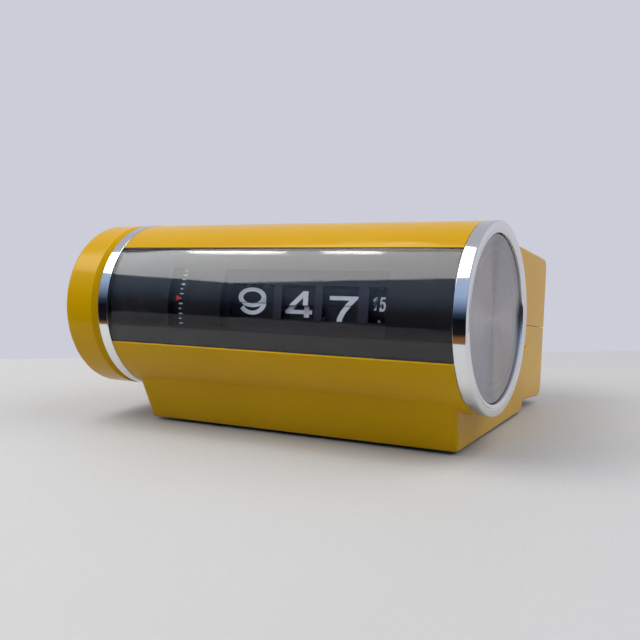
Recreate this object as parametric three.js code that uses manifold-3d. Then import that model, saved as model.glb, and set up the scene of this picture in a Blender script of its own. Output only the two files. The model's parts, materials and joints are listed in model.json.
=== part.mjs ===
// A tube-shaped flip number clock: millimetres, +Z up, the viewer stands on the -Y side.
// The tube, the display and the rear housing lean back together on a level foot.
import * as THREE from 'three';
import { mergeVertices } from 'three/addons/utils/BufferGeometryUtils.js';
import { ConvexGeometry } from 'three/addons/geometries/ConvexGeometry.js';
import Module from 'manifold-3d';

const wasm = await Module();
wasm.setup();

// ---- driving dimensions ----
const gap = 0.3; // clearance between neighbouring pieces
const wall = 2.4;
const tilt = THREE.MathUtils.degToRad(8.1);
const ringRadius = 45;
const tubeRadius = 44.8;
const tubeLeft = -84.2;
const tubeRight = 106.4;
const knobEnd = -114.6; // outer face of the alarm knob
const rightEnd = 112.5; // outer face of the right ring
const leftRingEnd = -90.6;
const windowTop = 40; // edges of the window, in degrees above the tube's own mid plane
const windowBottom = -28.7;
const roundSegments = 72;

// Rear housing, in the leaning frame.
const housingMiddle = 11.9;
const housingHalfWidth = 87.7;
const housingRear = 129;
const housingTaper = Math.tan(THREE.MathUtils.degToRad(1.84));
const housingCorner = 6;
const sideEdge = 1.5;
const lowerStep = 0.4; // the lower half's rear face stands in by this much

// Foot, in the level frame, measured from the tube's axis.
const footBottom = -59.9;
const footCrease = [-26.2, -36.3];
const footFront = -18.1;
const footRear = 86.3;
const footMiddle = 10.1;
const footTopHalf = 91.2;
const footBottomHalf = 88.9;
const padHeight = 1.8;

// Display, in the leaning frame.
const maskRadius = 41.4;
const maskThickness = 1;
const maskTop = 24.8;
const maskBottom = -16.5;
const maskLeft = -14;
const maskRight = 74.5;
const slotLeft = -46;
const slotRight = -35;
const frameFront = -33.4;
const frameThickness = 0.8;
const cellBottom = -9.2;
const cellTop = 11.4;
const drumAxis = [-27.2, 2.7]; // axis of the three leaf drums
const pivotRadius = 4.4;
const leafThickness = 0.3;
const leafHeight = 7.9;
const discThickness = 1.2;
const discRadius = 5.1;
const drumShaftRadius = 1.2;
const secondsAxis = [-16.2, 1.5];
const secondsRadius = 15;
const arborRadius = 1.6; // of the seconds drum's and the motor's arbors
const motorAxis = [2.55, 1.5];
const dialRadius = 37.5;

// Each leaf drum: the cell it fills, its number of leaves and its phase in degrees.
const cells = {
  hour: { left: -13.9, right: 11.7, leaves: 12, phase: 5 },
  tens: { left: 16.2, right: 34.3, leaves: 6, phase: 10 },
  units: { left: 38.4, right: 56.4, leaves: 10, phase: 8 },
  seconds: { left: 60.9, right: 72.6 },
};

// ---- finishes ----
function finish(color, roughness, metalness) {
  return { color, roughness, metalness };
}
const yellow = finish(0xb98510, 0.35, 0);
const black = finish(0x15161a, 0.5, 0);
const smoke = finish(0x2a2c30, 0.1, 0);
const chrome = finish(0xd8dadd, 0.12, 1);
const aluminium = finish(0xb6b2b2, 0.38, 1);
const steel = finish(0x9a9ca0, 0.4, 1);
const brass = finish(0xb8963e, 0.35, 1);
const rubber = finish(0x1b1b1b, 0.9, 0);

// ---- helpers ----
const radians = THREE.MathUtils.degToRad;

function solid(geometry) {
  const bare = geometry.clone();
  bare.deleteAttribute('normal');
  bare.deleteAttribute('uv');
  const merged = mergeVertices(bare, 1e-4);
  const vertProperties = new Float32Array(merged.attributes.position.array);
  const triVerts = new Uint32Array(merged.index.array);
  return new wasm.Manifold(new wasm.Mesh({ numProp: 3, vertProperties, triVerts }));
}

function geometryOf(manifold) {
  const mesh = manifold.getMesh();
  const geometry = new THREE.BufferGeometry();
  geometry.setAttribute('position', new THREE.BufferAttribute(mesh.vertProperties, 3));
  geometry.setIndex(new THREE.BufferAttribute(mesh.triVerts, 1));
  return geometry;
}

const leaning = new THREE.Group();
const level = new THREE.Group();

function add(name, shape, look, parent = leaning) {
  const geometry = shape.isBufferGeometry ? shape : geometryOf(shape);
  const mesh = new THREE.Mesh(geometry, new THREE.MeshStandardMaterial(look));
  mesh.name = name;
  parent.add(mesh);
  return mesh;
}

function block(x0, x1, y0, y1, z0, z1) {
  const geometry = new THREE.BoxGeometry(x1 - x0, y1 - y0, z1 - z0);
  return geometry.translate((x0 + x1) / 2, (y0 + y1) / 2, (z0 + z1) / 2);
}

// A round bar along X, centred on [y, z].
function barX(radius, x0, x1, [y, z] = [0, 0], segments = roundSegments) {
  const geometry = new THREE.CylinderGeometry(radius, radius, x1 - x0, segments);
  return geometry.rotateZ(Math.PI / 2).translate((x0 + x1) / 2, y, z);
}

// A round bar along Y, centred on (x, z).
function barY(radius, y0, y1, x, z, segments = 32) {
  const geometry = new THREE.CylinderGeometry(radius, radius, y1 - y0, segments);
  return geometry.translate(x, (y0 + y1) / 2, z);
}

// A piece turned about X from a profile of [x, radius] points.
function turnedX(profile, [y, z] = [0, 0], segments = roundSegments) {
  const points = profile.map(([x, radius]) => new THREE.Vector2(radius, x));
  return new THREE.LatheGeometry(points, segments).rotateZ(-Math.PI / 2).translate(0, y, z);
}

// A piece turned about Y from a profile of [y, radius] points.
function turnedY(profile, x, z, segments = 24) {
  const points = profile.map(([y, radius]) => new THREE.Vector2(radius, y));
  return new THREE.LatheGeometry(points, segments).translate(x, 0, z);
}

// A shape drawn in (y, z) and extruded along X.
const acrossX = new THREE.Matrix4().makeBasis(
  new THREE.Vector3(0, 1, 0),
  new THREE.Vector3(0, 0, 1),
  new THREE.Vector3(1, 0, 0),
);

function prismX(shape, x0, x1, curveSegments = 12) {
  const options = { depth: x1 - x0, bevelEnabled: false, curveSegments };
  return new THREE.ExtrudeGeometry(shape, options).applyMatrix4(acrossX).translate(x0, 0, 0);
}

function polygon(points) {
  return new THREE.Shape(points.map(([y, z]) => new THREE.Vector2(y, z)));
}

function circle(radius, [y, z], sides) {
  const points = [];
  for (let side = 0; side < sides; side += 1) {
    const angle = (2 * Math.PI * side) / sides;
    points.push([y + radius * Math.cos(angle), z + radius * Math.sin(angle)]);
  }
  return points;
}

// A point of the tube's front, at an angle in degrees above its mid plane.
function frontPoint(radius, degrees) {
  return [-radius * Math.cos(radians(degrees)), radius * Math.sin(radians(degrees))];
}

// A curved band of the tube's front, between two angles.
function frontBand(inner, outer, bottom, top) {
  const shape = new THREE.Shape();
  const from = Math.PI - radians(top);
  const to = Math.PI - radians(bottom);
  shape.absarc(0, 0, outer, from, to, false);
  shape.absarc(0, 0, inner, to, from, true);
  return shape;
}

// A wedge from the axis past the tube's front, between two angles.
function frontWedge(bottom, top) {
  const reach = 2 * ringRadius;
  return polygon([[0, 0], frontPoint(reach, top), frontPoint(reach, bottom)]);
}

// A point given in the level frame, in the leaning frame.
function toLeaning(y, z) {
  return [
    y * Math.cos(tilt) - z * Math.sin(tilt),
    y * Math.sin(tilt) + z * Math.cos(tilt),
  ];
}

// Teeth are cut slim, so that meshing gears keep some backlash.
function gearShape(teeth, module, turn = 0) {
  const root = (teeth * module) / 2 - module;
  const tip = (teeth * module) / 2 + 0.8 * module;
  const pitch = (2 * Math.PI) / teeth;
  const points = [];
  for (let tooth = 0; tooth < teeth; tooth += 1) {
    const middle = tooth * pitch + turn;
    for (const [radius, share] of [[root, -0.24], [tip, -0.09], [tip, 0.09], [root, 0.24]]) {
      const angle = middle + share * pitch;
      points.push([radius * Math.cos(angle), radius * Math.sin(angle)]);
    }
  }
  return polygon(points);
}

// ---- case ----
// One side outline of the housing, drawn in by shrink: the front end and a round rear corner.
function housingOutline(rear, height, corner, shrink) {
  const steps = 4;
  const top = height - rear * housingTaper;
  const outline = [[0, height - shrink]];
  for (let step = 0; step <= steps; step += 1) {
    const angle = (step / steps) * (Math.PI / 2);
    const y = rear - corner + (corner - shrink) * Math.sin(angle);
    const z = top - corner + (corner - shrink) * Math.cos(angle);
    outline.push([y, z]);
  }
  return outline;
}

// The rear housing as a hull: it gets lower to the rear, and its side edges are a little round.
function housing(inset, rearStep) {
  const half = housingHalfWidth - inset;
  const rear = housingRear - rearStep - inset;
  const corner = housingCorner - inset;
  const steps = 2;
  const points = [];
  for (let step = 0; step <= steps; step += 1) {
    const angle = (step / steps) * (Math.PI / 2);
    const x = half - sideEdge * (1 - Math.sin(angle));
    const shrink = sideEdge * (1 - Math.cos(angle));
    for (const [y, z] of housingOutline(rear, tubeRadius - inset, corner, shrink)) {
      for (const side of [-1, 1]) {
        points.push(new THREE.Vector3(housingMiddle + side * x, y, z));
        points.push(new THREE.Vector3(housingMiddle + side * x, y, -z));
      }
    }
  }
  return solid(new ConvexGeometry(points));
}

// The foot as a hull of its level bottom and of points inside the tube and housing.
function foot(inset, extra) {
  const inside = -24; // this height lies inside the tube and the housing
  const rearSlope = 4;
  const bottom = footBottom - extra;
  const frontSlope = (footFront - footCrease[0]) / (footCrease[1] - footBottom);
  const sideSlope = (footTopHalf - footBottomHalf) / (footCrease[1] - footBottom);
  const bottomHalf = footBottomHalf - extra * sideSlope;
  const corners = [
    [footCrease[0] + inset, footCrease[1], footTopHalf],
    [footCrease[0] + inset, inside, footTopHalf],
    [footFront + extra * frontSlope + inset, bottom, bottomHalf],
    [footRear - inset, bottom, bottomHalf],
    [footRear + rearSlope - inset, inside, footTopHalf - inset],
  ];
  const points = [];
  for (const [y, z, half] of corners) {
    for (const side of [-1, 1]) {
      const x = footMiddle + side * (half - inset);
      points.push(new THREE.Vector3(x, ...toLeaning(y, z)));
    }
  }
  return solid(new ConvexGeometry(points));
}

function tube(radius, x0, x1) {
  return solid(barX(radius, x0, x1));
}

function shell(rearStep) {
  const x0 = tubeLeft + gap;
  const x1 = tubeRight - gap;
  const outer = tube(tubeRadius, x0, x1).add(housing(0, rearStep)).add(foot(0, 0));
  const open = 5;
  const inner = tube(tubeRadius - wall, x0 - open, x1 + open)
    .add(housing(wall, rearStep))
    .add(foot(wall, open));
  const cut = solid(prismX(frontWedge(windowBottom, windowTop), x0 - open, x1 + open));
  return outer.subtract(inner).subtract(cut);
}

const far = 300;
const timeKnobPlace = [62, 16];
const alarmSwitchPlace = [-38, 16];
const inletPlace = [12, -20];
const stemHole = 3.3;
const switchHole = 4.3;
const inletHole = 6.8;
const inletBore = 4;

function rearHole(radius, [x, z]) {
  return solid(barY(radius, housingRear - 3 * wall, housingRear + wall, x, z));
}

function makeCase() {
  const above = solid(block(-far, far, -far, far, gap / 2, far));
  const below = solid(block(-far, far, -far, far, -far, -gap / 2));
  const upper = shell(0)
    .intersect(above)
    .subtract(rearHole(stemHole, timeKnobPlace))
    .subtract(rearHole(switchHole, alarmSwitchPlace));
  const lower = shell(lowerStep).intersect(below).subtract(rearHole(inletHole, inletPlace));
  add('upper_case', upper, yellow);
  add('lower_case', lower, yellow);
}

function makeBase() {
  const thickness = 2;
  const recess = 0.6;
  const bottom = footBottom + recess;
  const inset = wall + 3 * gap;
  const left = footMiddle - footBottomHalf + inset;
  const right = footMiddle + footBottomHalf - inset;
  const front = footFront + inset;
  const rear = footRear - inset;
  add('base_plate', block(left, right, front, rear, bottom, bottom + thickness), black, level);
  const padRadius = 7;
  const padInset = 14;
  const padDraft = 0.5;
  const top = bottom - gap;
  const height = top - footBottom + padHeight;
  const places = [
    [left + padInset, front + padInset],
    [right - padInset, front + padInset],
    [left + padInset, rear - padInset],
    [right - padInset, rear - padInset],
  ];
  places.forEach(([x, y], index) => {
    const pad = new THREE.CylinderGeometry(padRadius, padRadius - padDraft, height, 24);
    pad.rotateX(Math.PI / 2).translate(x, y, top - height / 2);
    add(`foot_pad_${index + 1}`, pad, rubber, level);
  });
}

// ---- ends of the tube ----
function ringProfile(x0, x1) {
  const round = 0.6;
  const bore = 39.2;
  return [
    [x0, bore],
    [x0, ringRadius],
    [x1 - round, ringRadius],
    [x1, ringRadius - round],
    [x1, bore + round],
    [x1 - round, bore],
    [x0, bore],
  ];
}

function mirrored(profile) {
  return profile.map(([x, radius]) => [-x, radius]).reverse();
}

function makeEnds() {
  add('right_ring', turnedX(ringProfile(tubeRight, rightEnd)), chrome);
  add('left_ring', turnedX(mirrored(ringProfile(-tubeLeft, -leftRingEnd))), chrome);
  const discRim = 38.9;
  const discFace = rightEnd - 1.9; // the disc sits back in its ring and is a little dished
  const dish = 1.2;
  const discThick = 1.5;
  const disc = [
    [discFace - dish - discThick, 0],
    [discFace - discThick, discRim],
    [discFace, discRim],
    [discFace, discRim - 1],
    [discFace - dish, 0],
  ];
  add('end_disc', turnedX(disc), aluminium);
  const stem = 4;
  const plateFace = leftRingEnd + 2;
  const plate = [
    [plateFace, stem + gap],
    [plateFace, discRim],
    [plateFace + wall, discRim],
    [plateFace + wall, stem + gap],
    [plateFace, stem + gap],
  ];
  add('end_plate', turnedX(plate), black);
  makeAlarmKnob(stem);
}

function makeAlarmKnob(stem) {
  const outer = 44.7;
  const rim = 2.5;
  const near = leftRingEnd - 0.5;
  const shoulder = near - 4.5; // from here the knob narrows to its neck
  const neck = 41.4;
  const dialOverlap = 1.5; // how far the dial runs past its slot
  const dialLeft = slotLeft - dialOverlap;
  const dialRight = slotRight + dialOverlap;
  const knob = [
    [knobEnd, 0],
    [knobEnd, outer - rim],
    [knobEnd + 0.3 * rim, outer - 0.3 * rim],
    [knobEnd + rim, outer],
    [shoulder, outer],
    [near, neck],
    [near, neck - wall],
    [shoulder, outer - wall],
    [knobEnd + wall, outer - wall],
    [knobEnd + wall, 0],
  ];
  const spindle = barX(stem, knobEnd + wall / 2, dialRight + 2, [0, 0], 32);
  add('alarm_knob', solid(turnedX(knob)).add(solid(spindle)), yellow);
  const bore = stem + gap;
  const hub = bore + 4;
  const rimWall = 1.4;
  const web = 1.6;
  const dial = [
    [dialLeft, bore],
    [dialLeft, hub],
    [dialRight - web, hub],
    [dialRight - web, dialRadius - rimWall],
    [dialLeft, dialRadius - rimWall],
    [dialLeft, dialRadius],
    [dialRight, dialRadius],
    [dialRight, bore],
    [dialLeft, bore],
  ];
  add('alarm_dial', turnedX(dial, [0, 0], 48), black);
}

// ---- display ----
function makeWindow() {
  const thickness = 2;
  const outer = tubeRadius - 0.1;
  const edge = 0.4; // degrees left open along each long edge
  const band = frontBand(outer - thickness, outer, windowBottom + edge, windowTop - edge);
  add('smoked_window', prismX(band, tubeLeft + gap, tubeRight - gap), smoke);
}

function makeMask() {
  const inner = maskRadius - maskThickness;
  const overlap = 2.2; // degrees by which the mask runs on behind the case
  const x0 = tubeLeft + 2 * gap;
  const x1 = tubeRight - 2 * gap;
  const band = frontBand(inner, maskRadius, windowBottom - overlap, windowTop + overlap);
  const sheet = solid(prismX(band, x0, x1));
  const digits = solid(prismX(frontWedge(maskBottom, maskTop), maskLeft, maskRight));
  const slot = solid(prismX(frontWedge(maskBottom, maskTop), slotLeft, slotRight));
  const lipTop = [-38.3, -5.4];
  const lipBack = [-37.6, -5.6];
  const lip = polygon([
    frontPoint(maskRadius, maskBottom - 0.3),
    lipTop,
    lipBack,
    frontPoint(inner, maskBottom - 2),
  ]);
  const sill = solid(prismX(lip, maskLeft, maskRight));
  add('display_mask', sheet.subtract(digits).subtract(slot).add(sill), black);
}

function makeDisplayFrame() {
  const back = frameFront + frameThickness;
  const left = leftPlate[0] - 1;
  const right = rightPlate[0] + 1;
  const below = 6.8; // how far the frame runs on below and above its cells
  const above = 8.6;
  let frame = solid(block(left, right, frameFront, back, cellBottom - below, cellTop + above));
  for (const cell of Object.values(cells)) {
    const hole = block(cell.left, cell.right, frameFront - 1, back + 1, cellBottom, cellTop);
    frame = frame.subtract(solid(hole));
  }
  add('display_frame', frame, black);
}

// Where pivot number k of a drum stands, k counted back over the top from the front.
function pivot(cell, k) {
  const turn = radians(cell.phase + (k * 360) / cell.leaves);
  return [
    drumAxis[0] - pivotRadius * Math.cos(turn),
    drumAxis[1] + pivotRadius * Math.sin(turn),
  ];
}

// How far a leaf leans back from upright: the upper ones turn with the drum, the lower ones hang.
function lean(cell, k) {
  const turned = (k * 360) / cell.leaves;
  return radians(Math.min(turned, 180));
}

const pinRadius = 0.25;
const pinLength = 0.7; // how far a leaf's pin enters its disc
const pinHole = 0.42;

function makeLeaf(name, cell, k) {
  const upper = pivot(cell, 0);
  const lower = pivot(cell, cell.leaves - 1);
  const tail = (upper[1] - lower[1]) / 2 - 0.1; // the plate runs past its pivot to the split line
  const width = cell.right - cell.left - 2 * gap;
  const side = width / 2;
  const face = leafThickness / 2;
  const plate = solid(block(-side, side, -face, face, -tail, leafHeight - tail));
  const reach = side + gap + pinLength;
  const leaf = plate.add(solid(barX(pinRadius, -reach, reach, [0, 0], 8)));
  const mesh = add(name, leaf, black);
  const [y, z] = pivot(cell, k);
  mesh.position.set((cell.left + cell.right) / 2, y, z);
  mesh.rotation.x = -lean(cell, k);
}

function makeDrum(name, cell) {
  const outline = polygon(circle(discRadius, drumAxis, 32));
  for (let k = 0; k < cell.leaves; k += 1) {
    outline.holes.push(polygon(circle(pinHole, pivot(cell, k), 6)));
  }
  const leftDisc = solid(prismX(outline, cell.left - discThickness, cell.left));
  const rightDisc = solid(prismX(outline, cell.right, cell.right + discThickness));
  const hub = 2;
  const x0 = cell.left - discThickness;
  const x1 = cell.right + discThickness;
  const core = solid(barX(hub, x0, x1, drumAxis, 24));
  const bore = solid(barX(drumShaftRadius + gap, x0 - 1, x1 + 1, drumAxis, 24));
  add(`${name}_drum`, leftDisc.add(rightDisc).add(core).subtract(bore), black);
}

function makeLeafDrums() {
  for (const name of ['hour', 'tens', 'units']) {
    const cell = cells[name];
    makeDrum(name, cell);
    for (let k = 0; k < cell.leaves; k += 1) {
      makeLeaf(`${name}_leaf_${k + 1}`, cell, k);
    }
  }
}

// ---- movement ----
const leftPlate = [-19, -17.5];
const middlePlate = [58.1, 59.5];
const rightPlate = [79, 80.5];
const gearPlane = [75.6, 77.2];
const gearModule = 0.75;
const secondsTeeth = 40;
const pinionTeeth = 10;

function makeSecondsDrum() {
  const margin = 0.4; // the drum is this much wider than its cell on each side
  const left = cells.seconds.left - margin;
  const right = cells.seconds.right + margin;
  const web = right - 1.6;
  const rimInside = secondsRadius - 1.3;
  const bore = arborRadius + gap;
  const hub = bore + 2.5;
  const drum = [
    [left, bore],
    [left, hub],
    [web, hub],
    [web, rimInside],
    [left, rimInside],
    [left, secondsRadius],
    [right, secondsRadius],
    [right, bore],
    [left, bore],
  ];
  add('seconds_drum', turnedX(drum, secondsAxis, 48), black);
  const arbor = solid(barX(arborRadius, middlePlate[0] - 1, rightPlate[1] + 1, secondsAxis, 16));
  const teeth = prismX(gearShape(secondsTeeth, gearModule), ...gearPlane);
  const wheel = solid(teeth.translate(0, ...secondsAxis));
  add('seconds_gear', arbor.add(wheel), brass);
}

function makeMotor() {
  const canRadius = 16;
  const canLeft = 32;
  const canRight = 55;
  const gearboxRadius = 9;
  const can = solid(barX(canRadius, canLeft, canRight, motorAxis, 40));
  const gearbox = solid(barX(gearboxRadius, canRight, middlePlate[0] - gap, motorAxis, 32));
  const bore = solid(barX(arborRadius + 0.4, canLeft - 1, middlePlate[0], motorAxis, 16));
  add('motor', can.add(gearbox).subtract(bore), steel);
  const shaft = solid(barX(arborRadius, canLeft + 2, rightPlate[0] - 1, motorAxis, 16));
  const half = Math.PI / pinionTeeth; // a space of the pinion faces a tooth of the wheel
  const teeth = prismX(gearShape(pinionTeeth, gearModule, Math.PI + half), ...gearPlane);
  const pinion = solid(teeth.translate(0, ...motorAxis));
  add('motor_pinion', shaft.add(pinion), brass);
}

function plateHole(shaftRadius, centre) {
  return solid(barX(shaftRadius + gap, -far, far, centre, 16));
}

function makePlates() {
  const front = -32.2;
  const back = 30;
  const bottom = -39;
  const outline = polygon([
    [front, -15],
    [-14, bottom],
    [back, bottom],
    [back, 22],
    [front, 20],
  ]);
  const drumHole = plateHole(drumShaftRadius, drumAxis);
  const secondsHole = plateHole(arborRadius, secondsAxis);
  const motorHole = plateHole(arborRadius, motorAxis);
  const left = solid(prismX(outline, ...leftPlate)).subtract(drumHole);
  const middle = solid(prismX(outline, ...middlePlate))
    .subtract(drumHole)
    .subtract(secondsHole)
    .subtract(motorHole);
  const right = solid(prismX(outline, ...rightPlate)).subtract(secondsHole);
  add('frame_plate_left', left, steel);
  add('frame_plate_middle', middle, steel);
  add('frame_plate_right', right, steel);
  const shaft = barX(drumShaftRadius, leftPlate[0] - 1, middlePlate[1] + 0.6, drumAxis, 16);
  add('drum_shaft', shaft, steel);
}

// A springy comb above the leaves: one finger for each drum.
function makeDetent() {
  const thickness = 0.4;
  const bottom = drumAxis[1] + leafHeight + 4.5;
  const top = bottom + thickness;
  const back = drumAxis[0] + 14;
  const spine = 5;
  const fingerHalf = 2;
  const fingerTip = drumAxis[0] - pivotRadius;
  let comb = solid(block(leftPlate[1] + 1.5, middlePlate[0] - 0.5, back - spine, back, bottom, top));
  for (const name of ['hour', 'tens', 'units']) {
    const middle = (cells[name].left + cells[name].right) / 2;
    const finger = block(
      middle - fingerHalf,
      middle + fingerHalf,
      fingerTip,
      back - spine + 1,
      bottom,
      top,
    );
    comb = comb.add(solid(finger));
  }
  add('leaf_detent', comb, steel);
}

// The buzzing alarm strip stands behind the motor, with a foot bent to the rear at its top.
function makeAlarm() {
  const front = 26;
  const half = 12;
  const strip = solid(block(36, 55, front, front + 1, -half, half));
  const bent = solid(block(44, 48, front, front + 8, half - 4, half));
  add('alarm_reed', strip.add(bent), steel);
}

// ---- controls at the rear ----
function makeRearControls() {
  const rear = housingRear;
  const [knobX, knobZ] = timeKnobPlace;
  const stem = stemHole - gap;
  const stemLength = 60;
  const knobRadius = 8;
  const knobDepth = 7.3;
  const knob = [
    [rear - stemLength, 0],
    [rear - stemLength, stem],
    [rear + gap, stem],
    [rear + gap, knobRadius],
    [rear + knobDepth - 0.8, knobRadius - 0.8],
    [rear + knobDepth, knobRadius - 1.6],
    [rear + knobDepth, 0],
  ];
  add('time_set_knob', turnedY(knob, knobX, knobZ), black);
  const [switchX, switchZ] = alarmSwitchPlace;
  const slide = switchHole - gap;
  const collar = slide + 1.5; // holds the switch in; it stands clear of the wall over the whole slide
  const collarRear = rear - 8;
  const buttonEnd = rear + 5;
  const button = [
    [rear - 14, 0],
    [rear - 14, collar],
    [collarRear, collar],
    [collarRear, slide],
    [buttonEnd - 0.6, slide],
    [buttonEnd, slide - 0.6],
    [buttonEnd, 0],
  ];
  add('alarm_switch', turnedY(button, switchX, switchZ), black);
  const [inletX, inletZ] = inletPlace;
  const hole = inletHole - gap;
  const flange = hole + 2;
  const inside = rear - wall - 2;
  const inlet = [
    [inside, inletBore],
    [inside, hole],
    [rear + gap, hole],
    [rear + gap, flange],
    [rear + 2, flange - 0.5],
    [rear + 2, inletBore],
    [inside, inletBore],
  ];
  add('cord_inlet', turnedY(inlet, inletX, inletZ), rubber);
}

makeCase();
makeBase();
makeEnds();
makeWindow();
makeMask();
makeDisplayFrame();
makeLeafDrums();
makeSecondsDrum();
makeMotor();
makePlates();
makeDetent();
makeAlarm();
makeRearControls();

// The origin is the middle of the clock's footprint, on the surface that it stands on.
leaning.rotation.x = -tilt;
const clock = new THREE.Group();
clock.add(leaning, level);
const bounds = new THREE.Box3().setFromObject(clock, true);
const middle = bounds.getCenter(new THREE.Vector3());
clock.position.set(-middle.x, -middle.y, -bounds.min.z);
clock.updateMatrixWorld(true);

export default clock;
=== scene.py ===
import json
import math

import bmesh
import bpy
from mathutils import Matrix, Vector


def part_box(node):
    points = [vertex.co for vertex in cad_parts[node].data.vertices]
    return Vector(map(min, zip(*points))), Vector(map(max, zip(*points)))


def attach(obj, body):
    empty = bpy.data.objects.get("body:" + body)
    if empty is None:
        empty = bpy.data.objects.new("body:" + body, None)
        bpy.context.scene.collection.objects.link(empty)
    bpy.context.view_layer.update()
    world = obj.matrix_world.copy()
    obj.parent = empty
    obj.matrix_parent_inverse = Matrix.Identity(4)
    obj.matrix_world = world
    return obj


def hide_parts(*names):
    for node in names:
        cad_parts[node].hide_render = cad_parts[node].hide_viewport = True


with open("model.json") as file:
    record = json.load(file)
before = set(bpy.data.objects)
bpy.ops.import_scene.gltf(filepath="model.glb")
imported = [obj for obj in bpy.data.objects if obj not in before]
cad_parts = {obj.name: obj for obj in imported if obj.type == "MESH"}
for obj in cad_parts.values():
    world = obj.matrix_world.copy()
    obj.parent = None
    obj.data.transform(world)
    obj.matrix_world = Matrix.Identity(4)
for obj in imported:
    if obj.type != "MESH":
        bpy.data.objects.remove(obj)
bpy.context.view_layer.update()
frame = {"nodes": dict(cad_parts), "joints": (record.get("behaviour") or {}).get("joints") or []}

# ---- measures: metres, in the frame's own axes ----
MM = 0.001
nodes = frame["nodes"]
joints = {joint["name"]: joint for joint in frame["joints"]}
scene = bpy.context.scene

ring_low, ring_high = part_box("right_ring")
ring_radius = (ring_high.z - ring_low.z) / 2
RIGHT_END = 112.5 * MM  # the right ring's face, from the X zero of the leaning frame
tube_axis = Vector((
    ring_high.x - RIGHT_END,
    (ring_low.y + ring_high.y) / 2,
    (ring_low.z + ring_high.z) / 2,
))
slide = Vector(joints["alarm_switch_slide"]["axis"])
tilt = math.atan2(-slide.z, slide.y)

# The tube, the display and the housing lean back: LEAN has its origin on the tube's axis.
LEVEL = Matrix.Translation(tube_axis)
LEAN = LEVEL @ Matrix.Rotation(-tilt, 4, "X")

WALL = 2.4 * MM
EDGE = 0.4 * MM  # roundness of a moulding's free edge


def leaning(point):
    return LEAN.inverted() @ Vector(point)


def lean_box(node, behind=-1.0):
    """Lowest and highest corner of a CAD node in the leaning frame, from its points behind a plane."""
    points = [leaning(vertex.co) for vertex in nodes[node].data.vertices]
    points = [point for point in points if point.y > behind]
    low = Vector([min(point[axis] for point in points) for axis in range(3)])
    high = Vector([max(point[axis] for point in points) for axis in range(3)])
    return low, high


# ---- mesh helpers ----
def linked(name, data):
    """A new object in the scene."""
    obj = bpy.data.objects.new(name, data)
    scene.collection.objects.link(obj)
    return obj


def tidied(obj, sharp=32):
    """Joins doubled points, turns the faces outwards and shades smooth up to the sharp angle."""
    work = bmesh.new()
    work.from_mesh(obj.data)
    bmesh.ops.remove_doubles(work, verts=work.verts, dist=2e-6)
    bmesh.ops.dissolve_degenerate(work, edges=work.edges, dist=1e-7)
    bmesh.ops.recalc_face_normals(work, faces=work.faces)
    work.to_mesh(obj.data)
    work.free()
    obj.data.shade_smooth()
    obj.data.set_sharp_from_angle(angle=math.radians(sharp))
    return obj


def piece(name, points, faces, place=LEAN, sharp=32):
    mesh = bpy.data.meshes.new(name)
    mesh.from_pydata([tuple(point) for point in points], [], faces)
    mesh.transform(place)
    return tidied(linked(name, mesh), sharp)


def applied(obj):
    """Turns the modifiers' result into the object's own mesh."""
    graph = bpy.context.evaluated_depsgraph_get()
    mesh = bpy.data.meshes.new_from_object(obj.evaluated_get(graph), depsgraph=graph)
    obj.modifiers.clear()
    obj.data = mesh
    return obj


def add_bevel(obj, width, steps, sharp):
    bevel = obj.modifiers.new("soft edges", "BEVEL")
    bevel.width = width
    bevel.segments = steps
    bevel.limit_method = "ANGLE"
    bevel.angle_limit = math.radians(sharp)


def softened(obj, width, steps=2, sharp=32):
    add_bevel(obj, width, steps, sharp)
    return tidied(applied(obj), sharp)


def boolean(obj, tool, operation="DIFFERENCE", sharp=32):
    cut = obj.modifiers.new("boolean", "BOOLEAN")
    cut.operation = operation
    cut.object = tool
    tidied(applied(obj), sharp)
    bpy.data.objects.remove(tool)
    return obj


def joined(obj, *others, sharp=32):
    """Puts the other meshes into this object's own mesh."""
    work = bmesh.new()
    work.from_mesh(obj.data)
    for other in others:
        work.from_mesh(other.data)
        bpy.data.objects.remove(other)
    work.to_mesh(obj.data)
    work.free()
    return tidied(obj, sharp)


def grid_faces(rows, columns, loop_rows, loop_columns):
    """Quads between a grid's rows and columns, which can close into loops."""
    faces = []
    for row in range(rows if loop_rows else rows - 1):
        for column in range(columns if loop_columns else columns - 1):
            next_row = (row + 1) % rows
            next_column = (column + 1) % columns
            faces.append((
                row * columns + column,
                row * columns + next_column,
                next_row * columns + next_column,
                next_row * columns + column,
            ))
    return faces


def rounded(corners, steps=4):
    """A closed outline whose corners (a, b, radius) become arcs."""
    outline = []
    for index, (a, b, radius) in enumerate(corners):
        here = Vector((a, b))
        if radius <= 0:
            outline.append(here)
            continue
        before = (Vector(corners[index - 1][:2]) - here).normalized()
        after = (Vector(corners[(index + 1) % len(corners)][:2]) - here).normalized()
        half = before.angle(after) / 2
        centre = here + (before + after).normalized() * (radius / math.sin(half))
        start = here + before * (radius / math.tan(half)) - centre
        end = here + after * (radius / math.tan(half)) - centre
        sweep = start.angle_signed(end)
        for step in range(steps + 1):
            turn = Matrix.Rotation(-sweep * step / steps, 2)
            outline.append(centre + turn @ start)
    return outline


def box_outline(a0, a1, b0, b1, radius):
    return rounded([(a0, b0, radius), (a1, b0, radius), (a1, b1, radius), (a0, b1, radius)])


def turned(name, profile, place=LEAN, steps=160, sharp=32):
    """A piece turned about the place's X axis, from a closed profile of (x, radius) points."""
    points = []
    for step in range(steps):
        angle = 2 * math.pi * step / steps
        for x, radius in profile:
            points.append((x, radius * math.cos(angle), radius * math.sin(angle)))
    on_axis = profile[0][1] < 1e-9 and profile[-1][1] < 1e-9
    faces = grid_faces(steps, len(profile), True, not on_axis)
    return piece(name, points, faces, place, sharp)


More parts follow.
